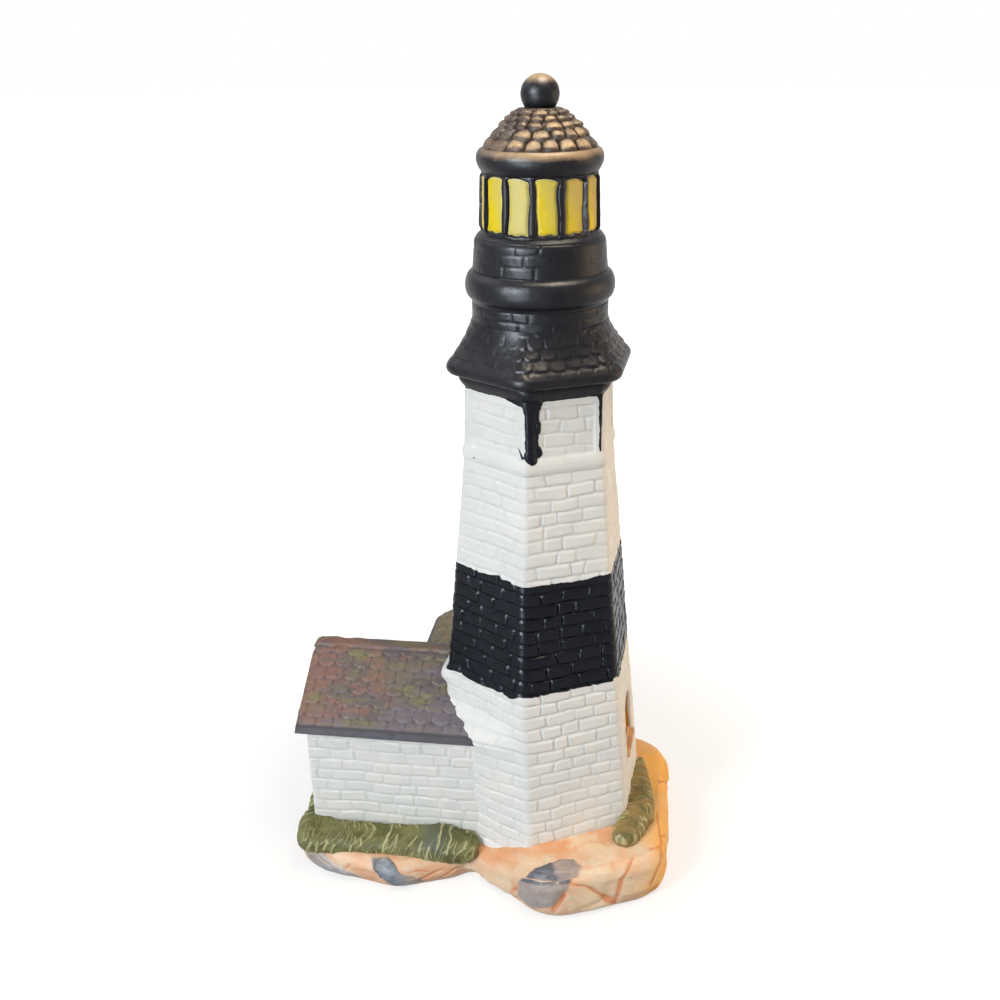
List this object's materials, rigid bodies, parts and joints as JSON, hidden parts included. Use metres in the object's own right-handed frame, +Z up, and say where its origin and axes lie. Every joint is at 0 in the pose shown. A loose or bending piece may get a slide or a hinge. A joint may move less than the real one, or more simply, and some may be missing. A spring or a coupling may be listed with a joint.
{
  "type": "lighthouse figurine",
  "caption": "Painted ceramic lighthouse ornament: six-sided banded brick tower with a round lantern, gabled house with a rear wing, hedges and a hollow rocky base.",
  "frame": {"origin": "middle of the base's outline, on the surface that the figurine stands on", "axes": "+Z up, along the tower; +X along the house's eave, from the house towards the tower; -Y towards the viewer, who faces the house's long front"},
  "size_m": [0.1644, 0.144, 0.316],
  "materials": {
    "rock_paint": "matte hand-painted wash",
    "rock_blue_grey": "matte hand-painted wash",
    "hedge_green": "matte paint with pale brush strokes",
    "white_paint": "matte paint over raised brickwork",
    "black_paint": "satin paint over raised brickwork",
    "pane_yellow": "matte paint",
    "reveal_brown": "matte paint",
    "dome_brown": "satin paint with tan dry-brush on its scales",
    "roof_mottled": "satin mottled wash",
    "roof_olive": "satin mottled wash",
    "ridge_tan": "satin mottled wash"
  },
  "bodies": {
    "root": {"rock_base": "rock_paint", "blue_grey_rocks": "rock_blue_grey", "hedge_front": "hedge_green", "hedge_left": "hedge_green", "grass_right": "hedge_green", "tower_lower": "white_paint", "window_pane": "pane_yellow", "window_sill": "reveal_brown", "tower_band": "black_paint", "tower_upper": "white_paint", "belt_moulding": "white_paint", "tower_panels": "white_paint", "gallery_lip": "black_paint", "gallery_roof": "black_paint", "lantern_neck": "black_paint", "gallery_ring": "black_paint", "lantern_wall": "black_paint", "lantern_sill": "black_paint", "lantern_bars": "black_paint", "lantern_panes": "pane_yellow", "cornice_ring": "black_paint", "dome_roof": "dome_brown", "finial_ball": "black_paint", "house_walls": "white_paint", "house_roof": "roof_mottled", "house_ridge_cap": "ridge_tan", "rear_walls": "white_paint", "rear_roof": "roof_olive", "rear_ridge_cap": "ridge_tan"}
  },
  "joints": []
}
